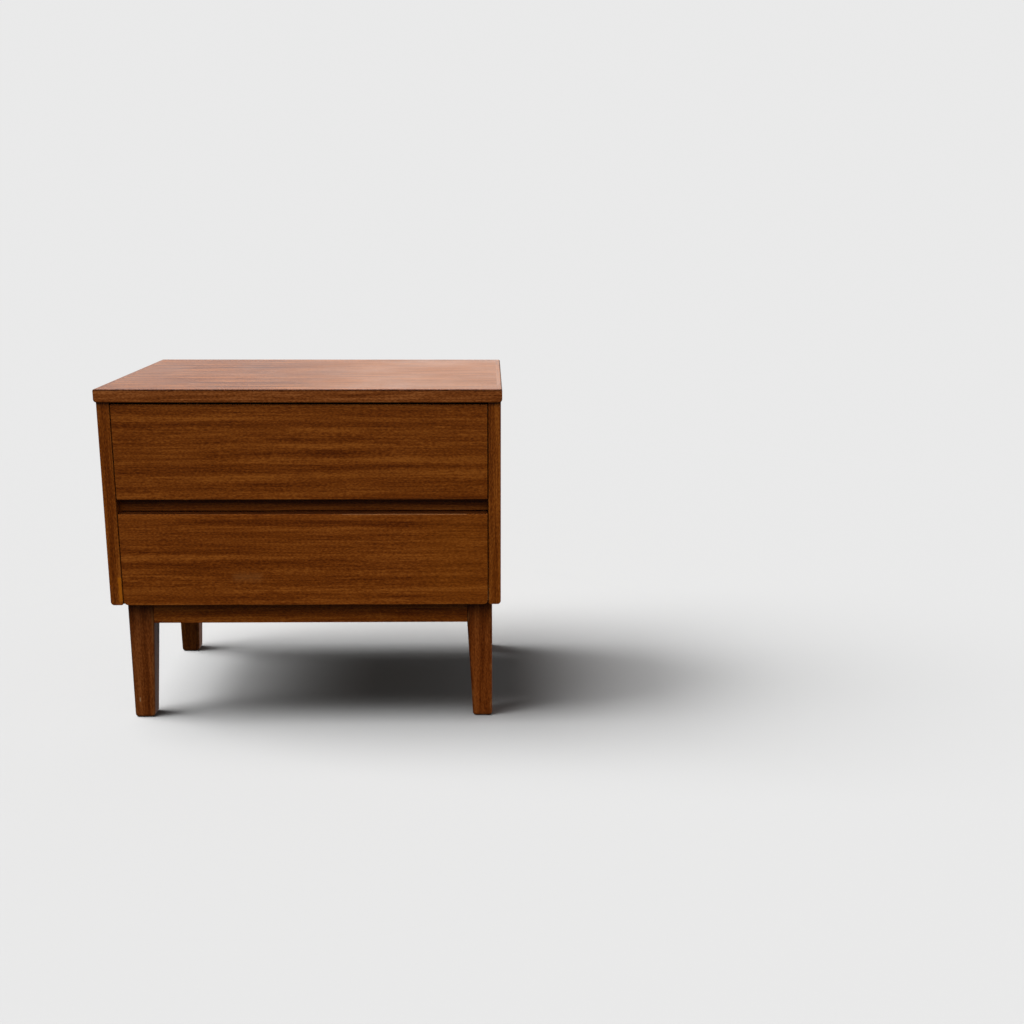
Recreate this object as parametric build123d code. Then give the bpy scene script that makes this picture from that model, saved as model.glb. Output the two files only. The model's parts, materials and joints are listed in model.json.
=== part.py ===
from build123d import *
import os

# A bedside table with two drawers on a four-legged base, in millimetres.
# The origin is on the floor under the middle of the top. +Z is up, the drawers face -Y,
# and +X is to the right for a person who stands in front of it.

# Overall size
top_width = 610
top_depth = 406
overall_height = 540

# Top
top_thickness = 20
top_side_overhang = 2
top_front_overhang = 7
lipping = 8
top_side_arris = 2.5
top_side_under_edge = 5
top_front_edge = 1.8

# Case
side_thickness = 19
bottom_thickness = 16
base_height = 202
side_outer_corner = 5.5
side_inner_corner = 2.8
arris = 0.8
back_thickness = 5
back_rebate = 9.5
rail_thickness = 19
rail_depth = 50
runner_width = 40
cleat_width = 25
divider_bottom = 348.5
divider_thickness = 20.5
guide_width = 24
guide_height = 8
guide_setback = 15

# Drawers
front_thickness = 20
front_side_gap = 1.5
front_rail_gap = 0.5
upper_front_corner = 1.5
lower_front_corner = 6.5
lower_front_top = 347
upper_front_bottom = 370
upper_front_top = 516.5
finger_bevel = 10
edge_chips = [(-115, 7, 0.8), (-106, 12, 1.3), (-88, 6, 0.7)]
box_thickness = 12
box_rear_clearance = 15
box_above_runner = 1
box_below_stop = 3
panel_height = 12
panel_thickness = 5
panel_groove = 6
tail_length = 13
tail_spread = 2
side_top_round = 2
back_top_drop = 8
channel_width = 44
channel_play = 1
channel_headroom = 1.5

# Base
base_side_inset = 13.5
base_front_inset = 38
base_rear_inset = 13
leg_top = 40
leg_foot = 31.5
leg_edge = 5.5
foot_edge = 5.4
apron_height = 43
apron_thickness = 20
apron_recess = 5
tenon_thickness = 8
tenon_length = 17
tenon_shoulder = 6
block_height = 25
block_reach = 45

# Fasteners
dowel_diameter = 8
dowel_length = 30
dowel_in_side = 12
screw_slot = 0.8

# Planes that several pieces share
case_half = top_width / 2 - top_side_overhang
inner_half = case_half - side_thickness
case_top = overall_height - top_thickness
case_front = -top_depth / 2 + top_front_overhang
case_back = top_depth / 2
back_front = case_back - back_thickness
front_half = inner_half - front_side_gap
front_rear_face = case_front + front_thickness
frame_front = front_rear_face + front_rail_gap
divider_top = divider_bottom + divider_thickness
top_rail_bottom = case_top - rail_thickness
bottom_top = base_height + bottom_thickness
base_front = case_front + base_front_inset
base_rear = case_back - base_rear_inset
base_middle = (base_front + base_rear) / 2
base_half = case_half - base_side_inset


def block(x, y, z):
    """A box between two corners, each axis given as a low and a high value."""
    size = [high - low for low, high in (x, y, z)]
    middle = [(high + low) / 2 for low, high in (x, y, z)]
    return Pos(*middle) * Box(*size)


def left_of(shape):
    """The same piece on the other side of the middle plane."""
    return mirror(shape, about=Plane.YZ)


def rear_of(shape):
    """The same base piece at the rear, mirrored across the middle of the base."""
    return mirror(shape, about=Plane(origin=(0, base_middle, 0), z_dir=(0, 1, 0)))


def screw(head, direction, length, shank):
    """A countersunk slotted wood screw, as (the screw, the hole that it fills)."""
    head_radius = shank
    cone_height = 0.6 * shank
    tip = min(4, length / 4)
    up = Align.MIN
    place = Plane(origin=head, z_dir=direction).location
    centred = (Align.CENTER, Align.CENTER, up)
    hole = Cone(head_radius, shank / 2, cone_height, align=centred)
    hole += Pos(0, 0, cone_height) * Cylinder(shank / 2, length - cone_height - tip, align=centred)
    hole += Pos(0, 0, length - tip) * Cone(shank / 2, 0.3, tip, align=centred)
    slot = Box(3 * head_radius, screw_slot, 0.3 * shank, align=centred)
    return place * (hole - slot), place * hole


def drive(pieces, name, fixings):
    """Adds a group of (fixing, hole) pairs to the pieces and takes the holes out of the rest."""
    holes = [(hole, hole.bounding_box(optimal=False)) for _, hole in fixings]
    for other, shape in pieces.items():
        box = shape.bounding_box(optimal=False)
        near = [hole for hole, hole_box in holes if box.overlaps(hole_box)]
        if near:
            pieces[other] = shape - near
    pieces[name] = Compound([solid for fixing, _ in fixings for solid in fixing.solids()])


def top_pieces():
    """The veneered core of the top, with solid lippings mitred round three edges."""
    half, front, back = top_width / 2, -top_depth / 2, top_depth / 2
    slab = block((-half, half), (front, back), (case_top, overall_height))
    slab = fillet(slab.edges().filter_by(Axis.Y).group_by(Axis.Z)[-1], top_side_arris)
    slab = fillet(slab.edges().filter_by(Axis.Y).group_by(Axis.Z)[0], top_side_under_edge)
    slab = fillet(slab.faces().sort_by(Axis.Y)[0].edges(), top_front_edge)
    core_half, core_front = half - lipping, front + lipping
    front_outline = [(-half, front), (half, front), (core_half, core_front), (-core_half, core_front)]
    side_outline = [(half, front), (half, back), (core_half, back), (core_half, core_front)]
    front_zone = extrude(Pos(0, 0, case_top) * make_face(Polyline(front_outline, close=True)), top_thickness)
    side_zone = extrude(Pos(0, 0, case_top) * make_face(Polyline(side_outline, close=True)), top_thickness)
    core = slab & block((-core_half, core_half), (core_front, back), (case_top, overall_height))
    return {
        "top_panel": core,
        "top_front_lipping": slab & front_zone,
        "top_right_lipping": slab & side_zone,
        "top_left_lipping": slab & left_of(side_zone),
    }


def side_pieces():
    """The side panels, rebated for the back, and the solid lippings on their front edges."""
    side = block((inner_half, case_half), (case_front, case_back), (base_height, case_top))
    under_edges = side.edges().filter_by(Axis.Y).group_by(Axis.Z)[0].sort_by(Axis.X)
    side = fillet(under_edges[-1], side_outer_corner)
    front_lip = side & block(
        (inner_half, case_half), (case_front, case_front + lipping), (base_height, case_top)
    )
    under_inner = front_lip.edges().filter_by(Axis.Y).group_by(Axis.Z)[0].sort_by(Axis.X)[0]
    front_lip = fillet(under_inner, side_inner_corner)
    front_face = front_lip.faces().sort_by(Axis.Y)[0]
    front_lip = fillet(front_face.edges().sort_by(Axis.Z)[:-1], arris)
    rear_part = block((inner_half, case_half), (case_front + lipping, case_back), (base_height, case_top))
    panel = side & rear_part
    panel -= block(
        (inner_half, inner_half + back_rebate), (back_front, case_back), (base_height, case_top)
    )
    return {
        "right_side_panel": panel,
        "right_side_lipping": front_lip,
        "left_side_panel": left_of(panel),
        "left_side_lipping": left_of(front_lip),
    }


def inner_pieces():
    """The case bottom, the back and the two frames that carry and hold down the drawers."""
    across = (-inner_half, inner_half)
    front_rail = (frame_front, frame_front + rail_depth)
    rear_rail = (back_front - rail_depth, back_front)
    between = (front_rail[1], rear_rail[0])
    divider = (divider_bottom, divider_top)
    under_top = (top_rail_bottom, case_top)
    runner = block((inner_half - runner_width, inner_half), between, divider)
    cleat = block((inner_half - cleat_width, inner_half), between, under_top)
    back_half = inner_half + back_rebate - 0.5
    guide = (-guide_width / 2, guide_width / 2)
    guide_run = (frame_front + guide_setback, back_front)
    upper_guide = block(guide, between, (divider_bottom, divider_top + guide_height))
    upper_guide += block(guide, guide_run, (divider_top, divider_top + guide_height))
    return {
        "case_bottom_panel": block(across, (frame_front, back_front), (base_height, bottom_top)),
        "back_panel": block((-back_half, back_half), (back_front, case_back), (base_height, case_top)),
        "front_top_rail": block(across, front_rail, under_top),
        "rear_top_rail": block(across, rear_rail, under_top),
        "right_top_cleat": cleat,
        "left_top_cleat": left_of(cleat),
        "front_divider_rail": block(across, front_rail, divider),
        "rear_divider_rail": block(across, rear_rail, divider),
        "right_drawer_runner": runner,
        "left_drawer_runner": left_of(runner),
        "upper_guide_rail": upper_guide,
        "lower_guide_rail": block(guide, guide_run, (bottom_top, bottom_top + guide_height)),
    }


def leg():
    """The front right leg: square where the aprons meet it, then tapered on its inner faces."""

    def section(side, height):
        middle = (base_half - side / 2, base_front + side / 2)
        return Pos(*middle, height) * RectangleRounded(side, side, leg_edge)

    shoulder = base_height - apron_height
    taper = loft([section(leg_foot, 0), section(leg_top, shoulder)], ruled=True)
    taper = fillet(taper.faces().sort_by(Axis.Z)[0].edges(), foot_edge)
    return taper + extrude(section(leg_top, shoulder), apron_height)


def base_pieces():
    """The legs, the tenoned aprons between them and the corner blocks that brace them."""
    low, high = base_height - apron_height, base_height
    leg_inner_x, leg_inner_y = base_half - leg_top, base_front + leg_top
    rear_leg_y = base_rear - leg_top
    near, far = apron_recess, apron_recess + apron_thickness
    tongue = apron_recess + (apron_thickness - tenon_thickness) / 2
    tongue_heights = (low + tenon_shoulder, high - tenon_shoulder)

    front_apron = block((-leg_inner_x, leg_inner_x), (base_front + near, base_front + far), (low, high))
    front_apron += block(
        (-leg_inner_x - tenon_length, leg_inner_x + tenon_length),
        (base_front + tongue, base_front + tongue + tenon_thickness),
        tongue_heights,
    )
    right_apron = block((base_half - far, base_half - near), (leg_inner_y, rear_leg_y), (low, high))
    right_apron += block(
        (base_half - tongue - tenon_thickness, base_half - tongue),
        (leg_inner_y - tenon_length, rear_leg_y + tenon_length),
        tongue_heights,
    )
    front_right_leg = leg() - front_apron - right_apron

    outline = Polyline(
        (leg_inner_x, base_front + far),
        (leg_inner_x - block_reach, base_front + far),
        (base_half - far, leg_inner_y + block_reach),
        (base_half - far, leg_inner_y),
        (leg_inner_x, leg_inner_y),
        close=True,
    )
    corner_block = extrude(Pos(0, 0, high - block_height) * make_face(outline), block_height)
    pieces = {
        "front_apron": front_apron,
        "rear_apron": rear_of(front_apron),
        "right_apron": right_apron,
        "left_apron": left_of(right_apron),
    }
    for name, shape in {"leg": front_right_leg, "corner_block": corner_block}.items():
        pieces["front_right_" + name] = shape
        pieces["front_left_" + name] = left_of(shape)
        pieces["rear_right_" + name] = rear_of(shape)
        pieces["rear_left_" + name] = rear_of(left_of(shape))
    return pieces


def case_dowels():
    """Dowels that join the case bottom and the cross rails to the side panels."""
    front_rail = [frame_front + 12, frame_front + rail_depth - 12]
    rear_rail = [back_front - rail_depth + 12, back_front - 12]
    bottom_run = [-150, -40, 70, 170]
    rows = [(base_height + bottom_thickness / 2, bottom_run)]
    for middle in (divider_bottom + divider_thickness / 2, top_rail_bottom + rail_thickness / 2):
        rows.append((middle, front_rail + rear_rail))
    middle_x = inner_half + dowel_in_side - dowel_length / 2
    pegs = []
    for height, places in rows:
        for y in places:
            for x in (-middle_x, middle_x):
                pegs.append(Pos(x, y, height) * Rot(0, 90, 0) * Cylinder(dowel_diameter / 2, dowel_length))
    return [(peg, peg) for peg in pegs]


def case_fixings(pieces):
    """Every dowel and screw of the case and its base."""
    drive(pieces, "case_dowels", case_dowels())

    top = []
    for y in (frame_front + rail_depth / 2, back_front - rail_depth / 2):
        for x in (-200, 0, 200):
            top.append(screw((x, y, top_rail_bottom), (0, 0, 1), 30, 4))
    for x in (-inner_half + cleat_width / 2, inner_half - cleat_width / 2):
        for y in (-50, 70):
            top.append(screw((x, y, top_rail_bottom), (0, 0, 1), 30, 4))
    drive(pieces, "top_screws", top)

    runner = []
    for side in (-1, 1):
        for y in (-80, 10, 100):
            head = (side * (inner_half - runner_width), y, divider_bottom + divider_thickness / 2)
            runner.append(screw(head, (side, 0, 0), 50, 4))
    drive(pieces, "runner_screws", runner)

    guide = []
    for y in (frame_front + rail_depth / 2, back_front - rail_depth / 2):
        guide.append(screw((0, y, divider_top + guide_height), (0, 0, -1), 22, 4))
    for y in (-150, 10, 170):
        guide.append(screw((0, y, bottom_top + guide_height), (0, 0, -1), 20, 4))
    drive(pieces, "guide_rail_screws", guide)

    back = []
    edge = inner_half + back_rebate / 2
    heights = (base_height + 10, 285, divider_bottom + divider_thickness / 2, 435, case_top - 10)
    for z in heights:
        back.append(screw((-edge, case_back, z), (0, -1, 0), 16, 3))
        back.append(screw((edge, case_back, z), (0, -1, 0), 16, 3))
    for z in (heights[0], heights[2], heights[4]):
        for x in (-150, 0, 150):
            back.append(screw((x, case_back, z), (0, -1, 0), 16, 3))
    drive(pieces, "back_panel_screws", back)

    leg_x, leg_y = base_half - leg_top, base_front + leg_top
    apron_face = apron_recess + apron_thickness
    half_reach = (block_reach - leg_top + apron_face) / 2
    mid_height = base_height - block_height / 2
    corner, upright = [], []
    for sx in (-1, 1):
        for sy in (-1, 1):

            def place(x, y, z):
                return (sx * x, base_middle + sy * (base_middle - y), z)

            head = place(leg_x - half_reach, leg_y + half_reach, mid_height)
            corner.append(screw(head, (sx, sy, 0), 40, 5))
            along, beside = 0.52 * block_reach, 10.5
            for x, y in (
                (leg_x - along, base_front + apron_face + beside),
                (base_half - apron_face - beside, leg_y + along),
            ):
                upright.append(screw(place(x, y, base_height - block_height), (0, 0, 1), 35, 4))
    drive(pieces, "corner_block_screws", corner)
    drive(pieces, "base_screws", upright)


def tails(z_low, z_high, shoulder_y, tip_y, count):
    """Dovetail tails of the right-hand drawer side, narrow at the shoulder and wide at the tip."""
    pitch = (z_high - z_low) / count
    neck = 0.3 * pitch
    outline = []
    for number in range(count):
        middle = z_low + (number + 0.5) * pitch
        face = Plane.YZ * make_face(
            Polyline(
                (shoulder_y, middle - neck),
                (tip_y, middle - neck - tail_spread),
                (tip_y, middle + neck + tail_spread),
                (shoulder_y, middle + neck),
                close=True,
            )
        )
        outline.append(Pos(front_half - box_thickness, 0, 0) * extrude(face, box_thickness))
    return outline


def chip(x, length, height):
    """A splinter lost from a drawer front's lower edge: a spindle with its tips at both ends."""
    half = Cone(height, 0.1, length / 2, align=(Align.CENTER, Align.CENTER, Align.MIN))
    return Pos(x, case_front, 0) * (Rot(0, 90, 0) * half + Rot(0, -90, 0) * half)


def drawer(level, front_z, corner, box_z, runner_top):
    """One drawer: a thick front on a dovetailed box that straddles a centre guide rail."""
    inner = front_half - box_thickness
    box_rear = back_front - box_rear_clearance
    panel_z = (box_z[0] + panel_height, box_z[0] + panel_height + panel_thickness)

    front = block((-front_half, front_half), (case_front, front_rear_face), front_z)
    lower_corners = front.edges().filter_by(Axis.Y).group_by(Axis.Z)[0]
    front = fillet(lower_corners, corner)
    front = fillet(front.faces().sort_by(Axis.Y)[0].edges(), arris)

    bottom = block(
        (-inner - panel_groove, inner + panel_groove), (front_rear_face - panel_groove, box_rear), panel_z
    )
    back_z = (panel_z[1], box_z[1] - back_top_drop)
    back_y = (box_rear - box_thickness, box_rear)
    back = block((-front_half, front_half), back_y, back_z)

    side = block((inner, front_half), (front_rear_face, box_rear), box_z)
    side = fillet(side.edges().filter_by(Axis.Y).group_by(Axis.Z)[-1], side_top_round)
    side -= block((inner, front_half), back_y, back_z)
    for tail in tails(*box_z, front_rear_face, front_rear_face - tail_length, 4):
        front -= tail
        front -= left_of(tail)
        side += tail
    for tail in tails(*back_z, back_y[0], back_y[1], 4):
        back -= tail
        back -= left_of(tail)
        side += tail
    side -= bottom
    front -= bottom

    bevel_outline = Polyline(
        (front_rear_face, front_z[0]),
        (front_rear_face - finger_bevel, front_z[0]),
        (front_rear_face, front_z[0] + finger_bevel),
        close=True,
    )
    front -= extrude(Plane.YZ * make_face(bevel_outline), inner - finger_bevel, both=True)

    channel_run = (front_rear_face + guide_setback, box_rear)
    channel = block((-channel_width / 2, channel_width / 2), channel_run, (box_z[0] + 0.5, panel_z[0]))
    groove_half = guide_width / 2 + channel_play
    groove_top = runner_top + guide_height + channel_headroom
    channel -= block((-groove_half, groove_half), channel_run, (box_z[0], groove_top))
    pieces = {
        "drawer_front": front,
        "drawer_right_side": side,
        "drawer_left_side": left_of(side),
        "drawer_back": back,
        "drawer_bottom": bottom,
        "drawer_guide_channel": channel,
    }
    under_back = (back_y[0] + back_y[1]) / 2
    pins = [screw((x, under_back, panel_z[0]), (0, 0, 1), 16, 3) for x in (-200, -70, 70, 200)]
    drive(pieces, "drawer_bottom_screws", pins)
    return {level + "_" + name: shape for name, shape in pieces.items()}


pieces = {**top_pieces(), **side_pieces(), **inner_pieces(), **base_pieces()}
case_fixings(pieces)
pieces.update(
    drawer(
        "upper",
        (upper_front_bottom, upper_front_top),
        upper_front_corner,
        (divider_top + box_above_runner, top_rail_bottom - box_below_stop),
        divider_top,
    )
)
pieces.update(
    drawer(
        "lower",
        (base_height, lower_front_top),
        lower_front_corner,
        (bottom_top + box_above_runner, divider_bottom - box_below_stop),
        bottom_top,
    )
)
for x, length, height in edge_chips:
    pieces["lower_drawer_front"] -= Pos(0, 0, base_height) * chip(x, length, height)

os.makedirs("parts", exist_ok=True)
for name, shape in pieces.items():
    export_step(shape, f"parts/{name}.step")
    print(name, len(shape.solids()))
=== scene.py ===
"""A bedside table with two drawers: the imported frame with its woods, screws, studio and camera."""

import json
import math
from collections import namedtuple

import bpy
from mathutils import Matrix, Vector


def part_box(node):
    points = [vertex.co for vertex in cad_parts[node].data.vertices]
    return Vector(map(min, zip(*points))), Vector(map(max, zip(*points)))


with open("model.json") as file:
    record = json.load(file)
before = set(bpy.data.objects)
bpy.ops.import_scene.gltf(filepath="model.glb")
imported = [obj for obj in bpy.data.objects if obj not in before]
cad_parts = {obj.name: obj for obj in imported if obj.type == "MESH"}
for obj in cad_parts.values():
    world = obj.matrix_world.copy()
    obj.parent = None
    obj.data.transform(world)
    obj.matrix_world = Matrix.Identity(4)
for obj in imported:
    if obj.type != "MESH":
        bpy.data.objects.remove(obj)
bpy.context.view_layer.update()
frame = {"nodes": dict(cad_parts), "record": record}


# ---------------------------------------------------------------- node helpers
class Shader:
    """The node tree of a material or a world, with short calls for the nodes used here."""

    def __init__(self, owner):
        owner.use_nodes = True
        self.owner = owner
        self.tree = owner.node_tree
        self.surface = self.tree.nodes.get("Principled BSDF")

    def node(self, kind, settings=None, inputs=None):
        """A new node; an input is a constant or another node's output socket."""
        node = self.tree.nodes.new("ShaderNode" + kind)
        for key, value in (settings or {}).items():
            setattr(node, key, value)
        for key, value in (inputs or {}).items():
            self.feed(node.inputs[key], value)
        return node

    def feed(self, socket, value):
        if isinstance(value, bpy.types.NodeSocket):
            self.tree.links.new(value, socket)
        else:
            socket.default_value = value

    def scaled(self, vector, scale):
        """The vector with its three axes scaled apart."""
        node = self.node("VectorMath", {"operation": "MULTIPLY"}, {0: vector, 1: scale})
        return node.outputs["Vector"]

    def noise(self, vector, scale, detail=2.0, roughness=0.5, distortion=0.0):
        inputs = {
            "Vector": self.scaled(vector, scale),
            "Scale": 1.0,
            "Detail": detail,
            "Roughness": roughness,
            "Distortion": distortion,
        }
        return self.node("TexNoise", None, inputs).outputs["Fac"]

    def cells(self, vector, scale):
        """Distance to the nearest of a scatter of points."""
        inputs = {"Vector": self.scaled(vector, scale), "Scale": 1.0}
        return self.node("TexVoronoi", {"feature": "F1"}, inputs).outputs["Distance"]

    def math(self, operation, first, second=0.0, clamp=False):
        node = self.node("Math", {"operation": operation, "use_clamp": clamp}, {0: first, 1: second})
        return node.outputs["Value"]

    def plus(self, base, extra, share):
        """base + share * extra"""
        inputs = {0: extra, 1: share, 2: base}
        return self.node("Math", {"operation": "MULTIPLY_ADD"}, inputs).outputs["Value"]

    def centred(self, noise, share):
        """The noise moved to swing about zero, times share."""
        return self.math("MULTIPLY", self.math("SUBTRACT", noise, 0.5), share)

    def bump(self, height, strength, distance):
        inputs = {"Strength": strength, "Distance": distance, "Height": height}
        bump = self.node("Bump", None, inputs)
        self.feed(self.surface.inputs["Normal"], bump.outputs["Normal"])

    def remap(self, value, low, high, to_low=0.0, to_high=1.0):
        inputs = {
            "Value": value,
            "From Min": low,
            "From Max": high,
            "To Min": to_low,
            "To Max": to_high,
        }
        return self.node("MapRange", {"clamp": True}, inputs).outputs["Result"]

    def ramp(self, value, stops):
        """A colour ramp with (position, colour) stops."""
        node = self.node("ValToRGB", None, {"Fac": value})
        elements = node.color_ramp.elements
        while len(elements) < len(stops):
            elements.new(0.5)
        for element, (position, colour) in zip(elements, stops):
            element.position = position
            element.color = (*colour, 1)
        return node.outputs["Color"]

    def mix(self, factor, first, second, blend="MIX"):
        node = self.node("Mix", {"data_type": "RGBA", "blend_type": blend})
        self.feed(node.inputs[0], factor)
        self.feed(node.inputs[6], first)
        self.feed(node.inputs[7], second)
        return node.outputs[2]

    def grain_space(self, grain, seed):
        """Coordinates of the piece in metres, with X along the grain, moved by a seed."""
        place = self.node("TexCoord").outputs["Object"]
        split = self.node("SeparateXYZ", None, {0: place}).outputs
        order = {"X": (0, 1, 2), "Y": (1, 0, 2), "Z": (2, 0, 1)}[grain]
        joined = self.node("CombineXYZ", None, {i: split[j] for i, j in enumerate(order)})
        shift = (0.731 * seed, 1.317 * seed, 2.113 * seed)
        moved = self.node("VectorMath", {"operation": "ADD"}, {0: joined.outputs[0], 1: shift})
        return moved.outputs["Vector"]

    def spot(self, centre, half, soft, share):
        """share inside a box of the part's own space, fading unevenly to 0 over soft metres."""
        place = self.node("TexCoord").outputs["Object"]
        from_centre = self.node("VectorMath", {"operation": "SUBTRACT"}, {0: place, 1: centre})
        size = self.node("VectorMath", {"operation": "ABSOLUTE"}, {0: from_centre.outputs[0]})
        beyond = self.node("VectorMath", {"operation": "SUBTRACT"}, {0: size.outputs[0], 1: half})
        outside = self.node("VectorMath", {"operation": "MAXIMUM"}, {0: beyond.outputs[0], 1: (0, 0, 0)})
        gap = self.node("VectorMath", {"operation": "LENGTH"}, {0: outside.outputs[0]}).outputs["Value"]
        uneven = self.plus(gap, self.noise(place, (220, 220, 220), 2.0), 0.8 * soft)
        return self.remap(uneven, 0.3 * soft, 1.2 * soft, share, 0.0)

    def edges(self, radius):
        """Near 1 on arrises, 0 on flat faces square to an axis."""
        rounded = self.node("Bevel", {"samples": 4}, {"Radius": radius}).outputs["Normal"]
        sizes = self.node("VectorMath", {"operation": "ABSOLUTE"}, {0: rounded}).outputs["Vector"]
        split = self.node("SeparateXYZ", None, {0: sizes}).outputs
        largest = self.math("MAXIMUM", self.math("MAXIMUM", split[0], split[1]), split[2])
        return self.remap(largest, 0.985, 0.86)


# ---------------------------------------------------------------- woods
RIBBON = 0.023
ARRIS_RADIUS = 0.0012
# Painted shade: a dark brown that stands for shade on the top's arrises and on the lower front's top
# face in the drawer gap.
PAINTED_SHADE = (0.040, 0.010, 0.003)
Mark = namedtuple("Mark", "centre half softness share colour dulling")


def mahogany(name, grain, seed, tone=(1, 1, 1), ribbon=1.0, contrast=1.0, wear=0.45, marks=()):
    """Lacquered ribbon-striped mahogany: ribbons, streaks, threads, flecks and pores, then
    arrises rubbed by wear, and marks. A mark is a soft box of the part's own space. It takes
    its share of the colour and adds dulling, times that share, to the roughness."""
    shader = Shader(bpy.data.materials.new(name))
    place = shader.grain_space(grain, seed)
    drift = shader.centred(shader.noise(place, (2.0, 6, 6), 2.0), 0.012)
    offset = shader.node("CombineXYZ", None, {1: drift, 2: drift}).outputs[0]
    wavy = shader.node("VectorMath", {"operation": "ADD"}, {0: place, 1: offset}).outputs["Vector"]

    split = shader.node("SeparateXYZ", None, {0: wavy}).outputs
    across = shader.math("ADD", split[1], split[2])
    slip = shader.centred(shader.noise(place, (1.5, 14, 14), 1.0), RIBBON)
    turn = shader.math("MULTIPLY", shader.math("ADD", across, slip), 2 * math.pi / RIBBON)
    swell = shader.remap(shader.noise(place, (3.2, 30, 30), 1.0), 0.25, 0.75, 0.0, 0.27 * ribbon)
    layers = [
        shader.math("MULTIPLY", shader.math("SINE", turn), swell),
        shader.centred(shader.noise(place, (1.6, 12, 12), 2.0), 0.36),
        shader.centred(shader.noise(wavy, (4.0, 150, 150), 1.0), 0.52 * contrast),
        shader.centred(shader.noise(wavy, (11, 480, 480), 1.0), 0.92 * contrast),
        shader.centred(shader.noise(wavy, (230, 680, 680), 1.0), 1.3),
    ]
    figure = layers[0]
    for layer in layers[1:]:
        figure = shader.math("ADD", figure, layer)
    wood = (
        (0.0, (0.090, 0.016, 0.0005)),
        (0.5, (0.202, 0.047, 0.0035)),
        (1.0, (0.350, 0.102, 0.0120)),
    )
    stops = [(level, [a * b for a, b in zip(tone, shade)]) for level, shade in wood]
    colour = shader.ramp(shader.math("ADD", figure, 0.5, True), stops)

    cells = shader.cells(wavy, (150, 1300, 1300))
    pores = shader.remap(cells, 0.10, 0.34, 1.0, 0.0)
    colour = shader.mix(shader.math("MULTIPLY", pores, 0.5), colour, (0.018, 0.006, 0.002, 1))

    smudge = shader.noise(place, (9, 9, 9), 3.0, 0.55)
    roughness = shader.plus(shader.remap(smudge, 0.3, 0.7, 0.31, 0.43), pores, 0.14)
    rub = shader.remap(shader.noise(place, (45, 60, 60), 3.0, 0.6), 0.46, 0.66, 0.0, wear)
    rub = shader.math("MULTIPLY", shader.edges(ARRIS_RADIUS), rub, True)
    colour = shader.mix(rub, colour, (0.34, 0.14, 0.04, 1))
    for mark in marks:
        spot = shader.spot(mark.centre, mark.half, mark.softness, mark.share)
        colour = shader.mix(spot, colour, (*mark.colour, 1))
        roughness = shader.plus(roughness, spot, mark.dulling)
    shader.feed(shader.surface.inputs["Base Color"], colour)
    shader.feed(shader.surface.inputs["Roughness"], roughness)

    relief = shader.plus(shader.noise(wavy, (60, 1400, 1400), 2.0, 0.6), pores, -0.8)
    shader.bump(relief, 0.35, 0.0002)
    shader.surface.inputs["Specular IOR Level"].default_value = 0.3
    return shader.owner


def beech(name, grain, seed):
    """Pale planed beech with short ray flecks, for the parts inside."""
    shader = Shader(bpy.data.materials.new(name))
    place = shader.grain_space(grain, seed)
    bands = shader.noise(place, (2.5, 60, 60), 3.0, 0.55, 0.3)
    fibres = shader.noise(place, (30, 900, 900), 2.0, 0.6)
    flecks = shader.cells(place, (260, 900, 900))
    figure = shader.plus(shader.math("MULTIPLY", bands, 0.65), fibres, 0.35)
    stops = ((0.38, (0.36, 0.20, 0.095)), (0.50, (0.50, 0.31, 0.165)), (0.62, (0.60, 0.40, 0.23)))
    colour = shader.ramp(figure, stops)
    fleck = shader.remap(flecks, 0.12, 0.26, 0.5, 0.0)
    colour = shader.mix(fleck, colour, (0.30, 0.155, 0.07, 1))
    soil = shader.noise(place, (5, 5, 5), 4.0, 0.6)
    colour = shader.mix(shader.remap(soil, 0.5, 0.75, 0.0, 0.35), colour, (0.26, 0.16, 0.09, 1))
    shader.feed(shader.surface.inputs["Base Color"], colour)
    shader.feed(shader.surface.inputs["Roughness"], shader.remap(fibres, 0.3, 0.7, 0.5, 0.68))
    shader.bump(fibres, 0.3, 0.0002)
    return shader.owner


def plywood(name, grain, through, ply, seed):
    """Birch plywood: a faint face figure, and glue lines wherever an edge cuts the plies."""
    shader = Shader(bpy.data.materials.new(name))
    place = shader.grain_space(grain, seed)
    bands = shader.noise(place, (2.0, 26, 26), 4.0, 0.6, 0.8)
    fibres = shader.noise(place, (40, 1100, 1100), 2.0, 0.6)
    figure = shader.plus(shader.math("MULTIPLY", bands, 0.7), fibres, 0.3)
    stops = ((0.36, (0.42, 0.26, 0.13)), (0.50, (0.56, 0.38, 0.21)), (0.64, (0.66, 0.48, 0.29)))
    colour = shader.ramp(figure, stops)
    split = shader.node("SeparateXYZ", None, {0: shader.node("TexCoord").outputs["Object"]}).outputs
    depth = shader.math("MULTIPLY", split[through], math.pi / ply)
    stripe = shader.math("ABSOLUTE", shader.math("SINE", depth))
    normal = shader.node("SeparateXYZ", None, {0: shader.node("NewGeometry").outputs["Normal"]}).outputs
    on_edge = shader.math("LESS_THAN", shader.math("ABSOLUTE", normal[through]), 0.5)
    lines = shader.math("MULTIPLY", shader.remap(stripe, 0.35, 0.15, 0.0, 0.75), on_edge)
    colour = shader.mix(lines, colour, (0.16, 0.08, 0.035, 1))
    shader.feed(shader.surface.inputs["Base Color"], colour)
    shader.feed(shader.surface.inputs["Roughness"], shader.remap(fibres, 0.3, 0.7, 0.55, 0.72))
    shader.bump(fibres, 0.25, 0.0002)
    return shader.owner


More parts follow.
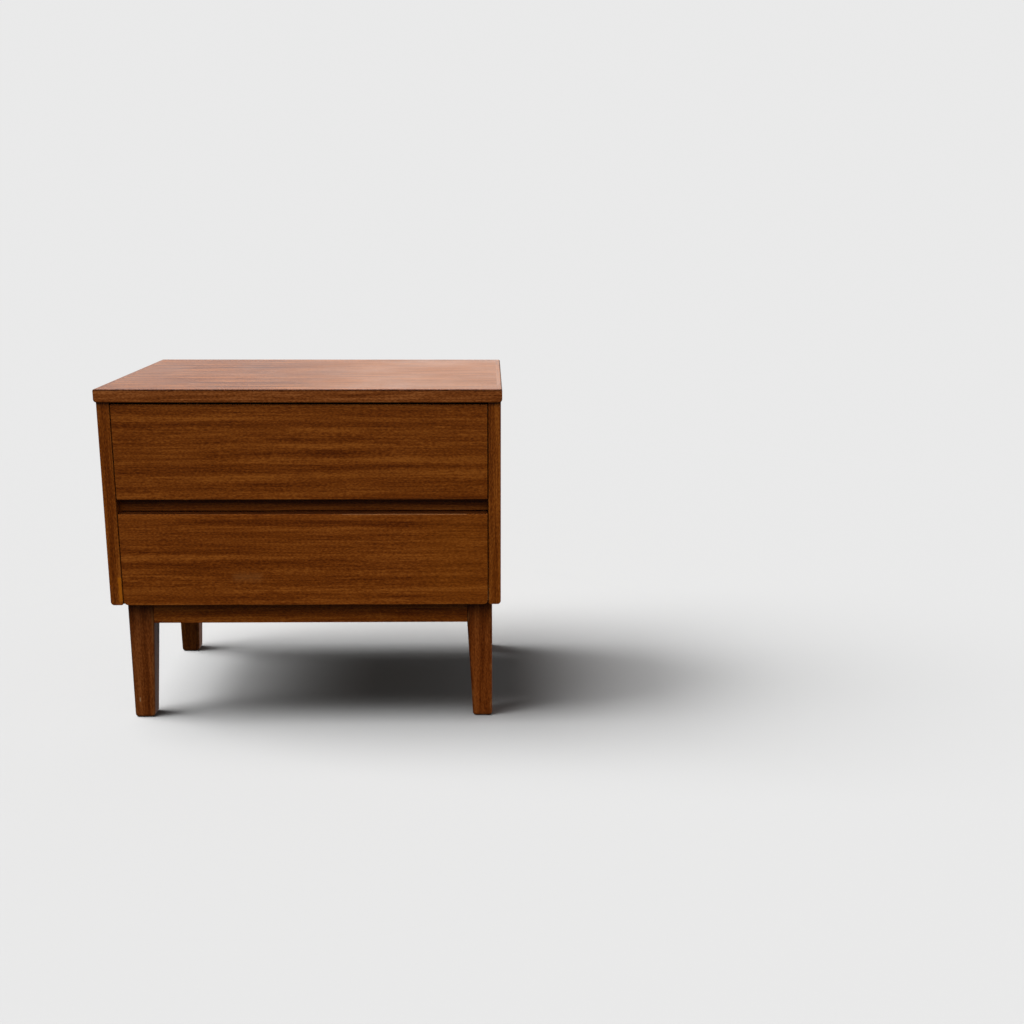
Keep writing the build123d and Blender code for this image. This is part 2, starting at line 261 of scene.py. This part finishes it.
def screw_steel():
    """Dull zinc-plated steel with a little tarnish."""
    shader = Shader(bpy.data.materials.new("zinc_screws"))
    place = shader.grain_space("X", 3)
    cloud = shader.noise(place, (400, 400, 400), 3.0, 0.6)
    stops = ((0.35, (0.22, 0.20, 0.17)), (0.55, (0.46, 0.44, 0.40)), (0.70, (0.56, 0.55, 0.52)))
    shader.feed(shader.surface.inputs["Base Color"], shader.ramp(cloud, stops))
    shader.feed(shader.surface.inputs["Roughness"], shader.remap(cloud, 0.3, 0.7, 0.5, 0.3))
    shader.bump(cloud, 0.2, 0.0001)
    shader.surface.inputs["Metallic"].default_value = 1.0
    return shader.owner


def dress(node, material):
    """Gives a node of the frame its finish."""
    piece = frame["nodes"][node]
    piece.data.materials.clear()
    piece.data.materials.append(material)


def grain_of(node):
    """The axis a piece's grain runs along: its longest side."""
    low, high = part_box(node)
    size = high - low
    return "XYZ"[max(range(3), key=lambda axis: size[axis])]


upright = ("left_side_panel", "right_side_panel")
plies = {"back_panel": ("X", 1, 0.001), "case_bottom_panel": ("X", 2, 0.0016)}
plies.update({level + "_drawer_bottom": ("X", 2, 0.001) for level in ("upper", "lower")})
FRONT = -0.196  # outer face of the drawer fronts and the side edges
# Painted sheen: a paler patch at the top's right end, standing for the brighter reflection there.
painted_sheen_end = Mark((0.2, 0.0, 0.54), (0.1, 0.2, 0.02), 0.25, 0.24, (0.36, 0.13, 0.02), 0)
# Painted shade: dark, duller lines along the top's front and side arrises, where the rounded edge turns
# away from the light.
painted_shade_front = Mark((0.0, -0.2016, 0.5388), (0.305, 0.0014, 0.0010), 0.0012, 0.9, PAINTED_SHADE, 0.5)
painted_shade_left, painted_shade_right = [
    Mark((x, 0.0, 0.5390), (0.0008, 0.203, 0.0008), 0.0016, 0.8, PAINTED_SHADE, 0.4) for x in (-0.3044, 0.3044)
]
nick = Mark((-0.2795, -0.158, 0.031), (0.0002, 0.004, 0.003), 0.0012, 0.7, (0.5, 0.35, 0.2), 0.2)
orange_strip = Mark((-0.2868, FRONT, 0.228), (0.0008, 0.002, 0.018), 0.004, 0.9, (0.50, 0.145, 0.005), 0)
lower_front_marks = [
    Mark((-0.089, FRONT, 0.247), (0.018, 0.002, 0.002), 0.010, 0.22, (0.42, 0.17, 0.045), 0),
    Mark((0.235, FRONT, 0.275), (0.020, 0.002, 0.040), 0.080, 0.14, (0.36, 0.10, 0.004), 0),
    # Painted shade: the lower front's top face is darkened and dulled for the shade of the gap under the
    # upper front.
    Mark((0.0, -0.185, 0.3470), (0.283, 0.0095, 0.0002), 0.0010, 0.85, PAINTED_SHADE, 0.3),
    # Painted highlight: a light line along the front arris of that top face, where light still reaches
    # it.
    Mark((0.155, -0.1955, 0.3466), (0.095, 0.0008, 0.0002), 0.0012, 0.4, (0.50, 0.24, 0.10), 0.2),
]

# Tones, contrasts and marks matched to one photograph under these lights. The darker rail and legs hold
# painted shade, the lighter apron painted light, and the bluer top and front legs painted sheen, not the
# colour of the wood.
# Painted sheen: the top's tone raises green and blue to stand for sheen on the top.
TOP_SHEEN_TONE = (0.96, 1.12, 2.5)
# Painted shade: the rear legs are toned darker for the shade under the case.
REAR_LEG_SHADE_TONE = (0.75, 0.8, 1.0)
special = {
    "top_panel": dict(tone=TOP_SHEEN_TONE, ribbon=1.4, contrast=3.0, wear=0, marks=[painted_sheen_end]),
    "top_front_lipping": dict(
        tone=(1.2, 1.35, 2.8), ribbon=0.3, contrast=1.3, wear=0, marks=[painted_shade_front]
    ),
    "top_left_lipping": dict(tone=TOP_SHEEN_TONE, contrast=1.3, wear=0, marks=[painted_shade_left]),
    "top_right_lipping": dict(tone=TOP_SHEEN_TONE, contrast=1.3, wear=0, marks=[painted_sheen_end, painted_shade_right]),
    "left_side_lipping": dict(marks=[orange_strip]),
    "lower_drawer_front": dict(tone=(1.06, 1.06, 1.1), marks=lower_front_marks),
    # Painted shade: the divider rail is toned darker for the shade in the gap between the fronts.
    "front_divider_rail": dict(tone=(0.7, 0.7, 0.7), ribbon=0.3),
    # Painted light: the front apron is toned lighter to stand for light reaching it under the case.
    "front_apron": dict(tone=(1.3, 1.3, 1.3), ribbon=1.3, contrast=1.15),
    # Painted shade and sheen: the front legs are toned darker for shade under the case, and bluer for
    # sheen.
    "front_left_leg": dict(tone=(0.78, 0.80, 1.5), marks=[nick]),
    "front_right_leg": dict(tone=(0.86, 0.82, 1.2), contrast=1.1),
    "rear_left_leg": dict(tone=REAR_LEG_SHADE_TONE),
    "rear_right_leg": dict(tone=REAR_LEG_SHADE_TONE),
}
screws = screw_steel()
slots = {entry["node"]: entry["material_slot"] for entry in frame["record"]["subparts"]}
for seed, node in enumerate(sorted(frame["nodes"])):
    finish = slots[node]
    if finish == "steel_screws":
        dress(node, screws)
    elif finish == "birch_plywood":
        dress(node, plywood(node + "_plywood", *plies[node], seed))
    elif finish == "beech":
        grain = "X" if node == "case_dowels" else grain_of(node)
        dress(node, beech(node + "_beech", grain, seed))
    else:
        grain = "Z" if node in upright else grain_of(node)
        dress(node, mahogany(node + "_mahogany", grain, seed, **special.get(node, {})))


# ---------------------------------------------------------------- studio
PAPER = 0.82
FLOOR_PAINT = 0.385
AMBIENT = 0.16
REAR_GLOW = 0.25


def paper_bowl():
    """A pale round floor that fades into a plain surround. Only the camera sees it."""
    radius, bend, height, rings, spokes = 9.0, 2.0, 7.0, 12, 96
    profile = [(0.5, 0.0), (radius - bend, 0.0)]
    for ring in range(1, rings + 1):
        angle = math.pi / 2 * ring / rings
        profile.append((radius - bend + bend * math.sin(angle), bend - bend * math.cos(angle)))
    profile.append((radius, height))
    turns = [2 * math.pi * spoke / spokes for spoke in range(spokes)]
    vertices = [(r * math.cos(t), r * math.sin(t), z) for r, z in profile for t in turns]
    faces = [tuple(range(spokes))]
    for ring in range(len(profile) - 1):
        for spoke in range(spokes):
            first = ring * spokes + spoke
            second = ring * spokes + (spoke + 1) % spokes
            faces.append((first, first + spokes, second + spokes, second))
    mesh = bpy.data.meshes.new("paper_bowl")
    mesh.from_pydata(vertices, [], faces)

    shader = Shader(bpy.data.materials.new("pale_paper"))
    place = shader.node("TexCoord").outputs["Object"]
    reach = shader.node("VectorMath", {"operation": "LENGTH"}, {0: place}).outputs["Value"]
    paint = shader.node("BsdfDiffuse", None, {"Color": (*[FLOOR_PAINT] * 3, 1)}).outputs["BSDF"]
    glow = shader.node("Emission", None, {"Color": (PAPER, PAPER, PAPER, 1)}).outputs["Emission"]
    blend = shader.node("MixShader", None, {0: shader.remap(reach, 0.8, 2.5), 1: paint, 2: glow})
    output = shader.tree.nodes["Material Output"]
    shader.feed(output.inputs["Surface"], blend.outputs[0])
    mesh.materials.append(shader.owner)

    bowl = bpy.data.objects.new("paper_bowl", mesh)
    bpy.context.scene.collection.objects.link(bowl)
    for ray in ("diffuse", "glossy", "transmission", "shadow", "volume_scatter"):
        setattr(bowl, "visible_" + ray, False)
    return bowl


def group(name, members):
    """A collection of objects for lights to be limited to."""
    collection = bpy.data.collections.new(name)
    for member in members:
        collection.objects.link(member)
    return collection


def sun(name, reach, direction, spread, light_on_face):
    """A soft distant light: spread is its width in degrees, light_on_face what a white face
    square to it gives back."""
    data = bpy.data.lights.new(name, "SUN")
    data.energy = math.pi * light_on_face
    data.angle = math.radians(spread)
    light = bpy.data.objects.new(name, data)
    light.rotation_euler = Vector(direction).to_track_quat("Z", "Y").to_euler()
    light.light_linking.receiver_collection = reach
    bpy.context.scene.collection.objects.link(light)
    return light


def panel(name, reach, place, target, size, brightness):
    """A bright rectangle that shows only as a sheen on what it reaches."""
    data = bpy.data.lights.new(name, "AREA")
    data.shape = "RECTANGLE"
    data.size, data.size_y = size
    data.energy = math.pi * size[0] * size[1] * brightness
    light = bpy.data.objects.new(name, data)
    light.location = place
    light.rotation_euler = (Vector(place) - Vector(target)).to_track_quat("Z", "Y").to_euler()
    light.visible_diffuse = False
    light.light_linking.receiver_collection = reach
    bpy.context.scene.collection.objects.link(light)


def studio_air():
    """Even dim light all round, darker below the horizon in front, with a floor's glow behind."""
    shader = Shader(bpy.data.worlds.new("studio_air"))
    direction = shader.node("TexCoord").outputs["Generated"]
    split = shader.node("SeparateXYZ", None, {0: direction}).outputs
    even = shader.remap(split["Z"], -0.12, 0.0, 0.02, AMBIENT)
    behind = shader.remap(split["Y"], 0.55, 0.95)
    below = shader.remap(split["Z"], 0.05, -0.1)
    glow = shader.math("MULTIPLY", behind, below)
    background = shader.tree.nodes["Background"]
    background.inputs["Color"].default_value = (1, 1, 1, 1)
    shader.feed(background.inputs["Strength"], shader.plus(even, glow, REAR_GLOW))
    bpy.context.scene.world = shader.owner


studio_air()
floor_only = group("floor_only", [paper_bowl()])
piece_only = group("piece_only", frame["nodes"].values())
suns = {}
for name, reach, direction, spread, light_on_face in (
    ("floor_light_near", floor_only, (-0.417, -0.06, 1.0), 42, 1.16),
    ("floor_light_far", floor_only, (-1.053, -0.06, 1.0), 42, 1.30),
    ("overhead", piece_only, (-0.35, 0.40, 1.0), 40, 1.42),
    ("front_fill", piece_only, (0.10, -1.0, 0.95), 46, 0.60),
    ("side_fill", piece_only, (1.0, 0.75, 0.45), 40, 0.45),
):
    suns[name] = sun(name, reach, direction, spread, light_on_face)
suns["front_fill"].visible_glossy = False
panel_aim = (0.8, 0, 0.5)
panel("rear_panel", piece_only, (0.8, 3.2, 1.7), panel_aim, (9.0, 2.6), 0.54)
panel("rear_right_panel", piece_only, (2.1, 3.1, 1.7), panel_aim, (5.8, 2.6), 0.38)
bpy.context.scene.view_settings.view_transform = "Standard"

# ---------------------------------------------------------------- camera
LENS = 43.42
CAMERA_PLACE = (0.2843, -2.0423, 0.7855)
LOOKS_DOWN, TURNS_RIGHT, ROLL = (math.radians(angle) for angle in (13.27, 1.11, 0.15))

camera_data = bpy.data.cameras.new("camera")
camera_data.lens = LENS
camera_data.sensor_width = 36
camera = bpy.data.objects.new("camera", camera_data)
camera.location = CAMERA_PLACE
camera.rotation_euler = (math.pi / 2 - LOOKS_DOWN, 0, -TURNS_RIGHT)
camera.rotation_euler.rotate_axis("Z", ROLL)
bpy.context.scene.collection.objects.link(camera)
bpy.context.scene.camera = camera
